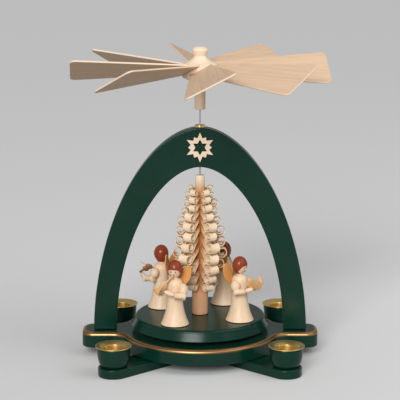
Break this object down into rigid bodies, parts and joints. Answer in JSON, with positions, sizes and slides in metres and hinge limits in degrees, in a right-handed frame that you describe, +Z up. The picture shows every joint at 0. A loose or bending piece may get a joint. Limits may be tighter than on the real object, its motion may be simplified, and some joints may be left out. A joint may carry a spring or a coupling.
{
  "type": "christmas pyramid",
  "caption": "Wooden table pyramid: warm air from candles on a cross foot turns a slatted wheel over an arch, and with it a disc of angel musicians round a shaved tree.",
  "frame": {"origin": "on the floor, under the shaft", "axes": "+Z up along the shaft, +X along the arch to the right of the front view, +Y towards the back"},
  "size_m": [0.2312, 0.2312, 0.28],
  "materials": {
    "green_lacquer": "glossy dark green paint",
    "pale_wood": "bare, fine sanded",
    "brass": "polished",
    "steel": "drawn wire",
    "bearing_glass": "clear"
  },
  "bodies": {
    "stand": {"cross_bar_a": "green_lacquer", "cross_bar_b": "green_lacquer", "cross_screw": "steel", "base_plate": "green_lacquer", "arch": "green_lacquer", "arch_star": "pale_wood", "arch_bush": "brass", "bearing_cup": "bearing_glass", "arch_dowel_left": "pale_wood", "arch_dowel_right": "pale_wood", "candle_cup_1": "green_lacquer", "candle_cup_2": "green_lacquer", "candle_cup_3": "green_lacquer", "candle_cup_4": "green_lacquer", "candle_dish_1": "brass", "candle_dish_2": "brass", "candle_dish_3": "brass", "candle_dish_4": "brass"},
    "rotor": {"shaft": "steel", "shaft_sleeve": "pale_wood", "vane_hub": "pale_wood", "turntable": "green_lacquer", "tree": "pale_wood", "vane_blade_1": "pale_wood", "vane_blade_2": "pale_wood", "vane_blade_3": "pale_wood", "vane_blade_4": "pale_wood", "vane_blade_5": "pale_wood", "vane_blade_6": "pale_wood", "vane_blade_7": "pale_wood", "vane_blade_8": "pale_wood", "horn_angel_robe": "pale_wood", "horn_angel_head": "pale_wood", "horn_angel_wings": "pale_wood", "horn_angel_arm_left": "pale_wood", "horn_angel_arm_right": "pale_wood", "horn_angel_horn": "pale_wood", "songbook_angel_robe": "pale_wood", "songbook_angel_head": "pale_wood", "songbook_angel_wings": "pale_wood", "songbook_angel_arm_left": "pale_wood", "songbook_angel_arm_right": "pale_wood", "songbook_angel_songbook": "pale_wood", "flute_angel_robe": "pale_wood", "flute_angel_head": "pale_wood", "flute_angel_wings": "pale_wood", "flute_angel_arm_left": "pale_wood", "flute_angel_arm_right": "pale_wood", "flute_angel_flute": "pale_wood", "violin_angel_robe": "pale_wood", "violin_angel_head": "pale_wood", "violin_angel_wings": "pale_wood", "violin_angel_arm_left": "pale_wood", "violin_angel_arm_right": "pale_wood", "violin_angel_violin": "pale_wood", "violin_angel_bow": "pale_wood"}
  },
  "joints": [
    {"name": "rotor_spin", "type": "hinge", "parent": "stand", "child": "rotor", "pos_m": [0, 0, 0.0206], "axis": [0, 0, 1], "continuous": true}
  ]
}
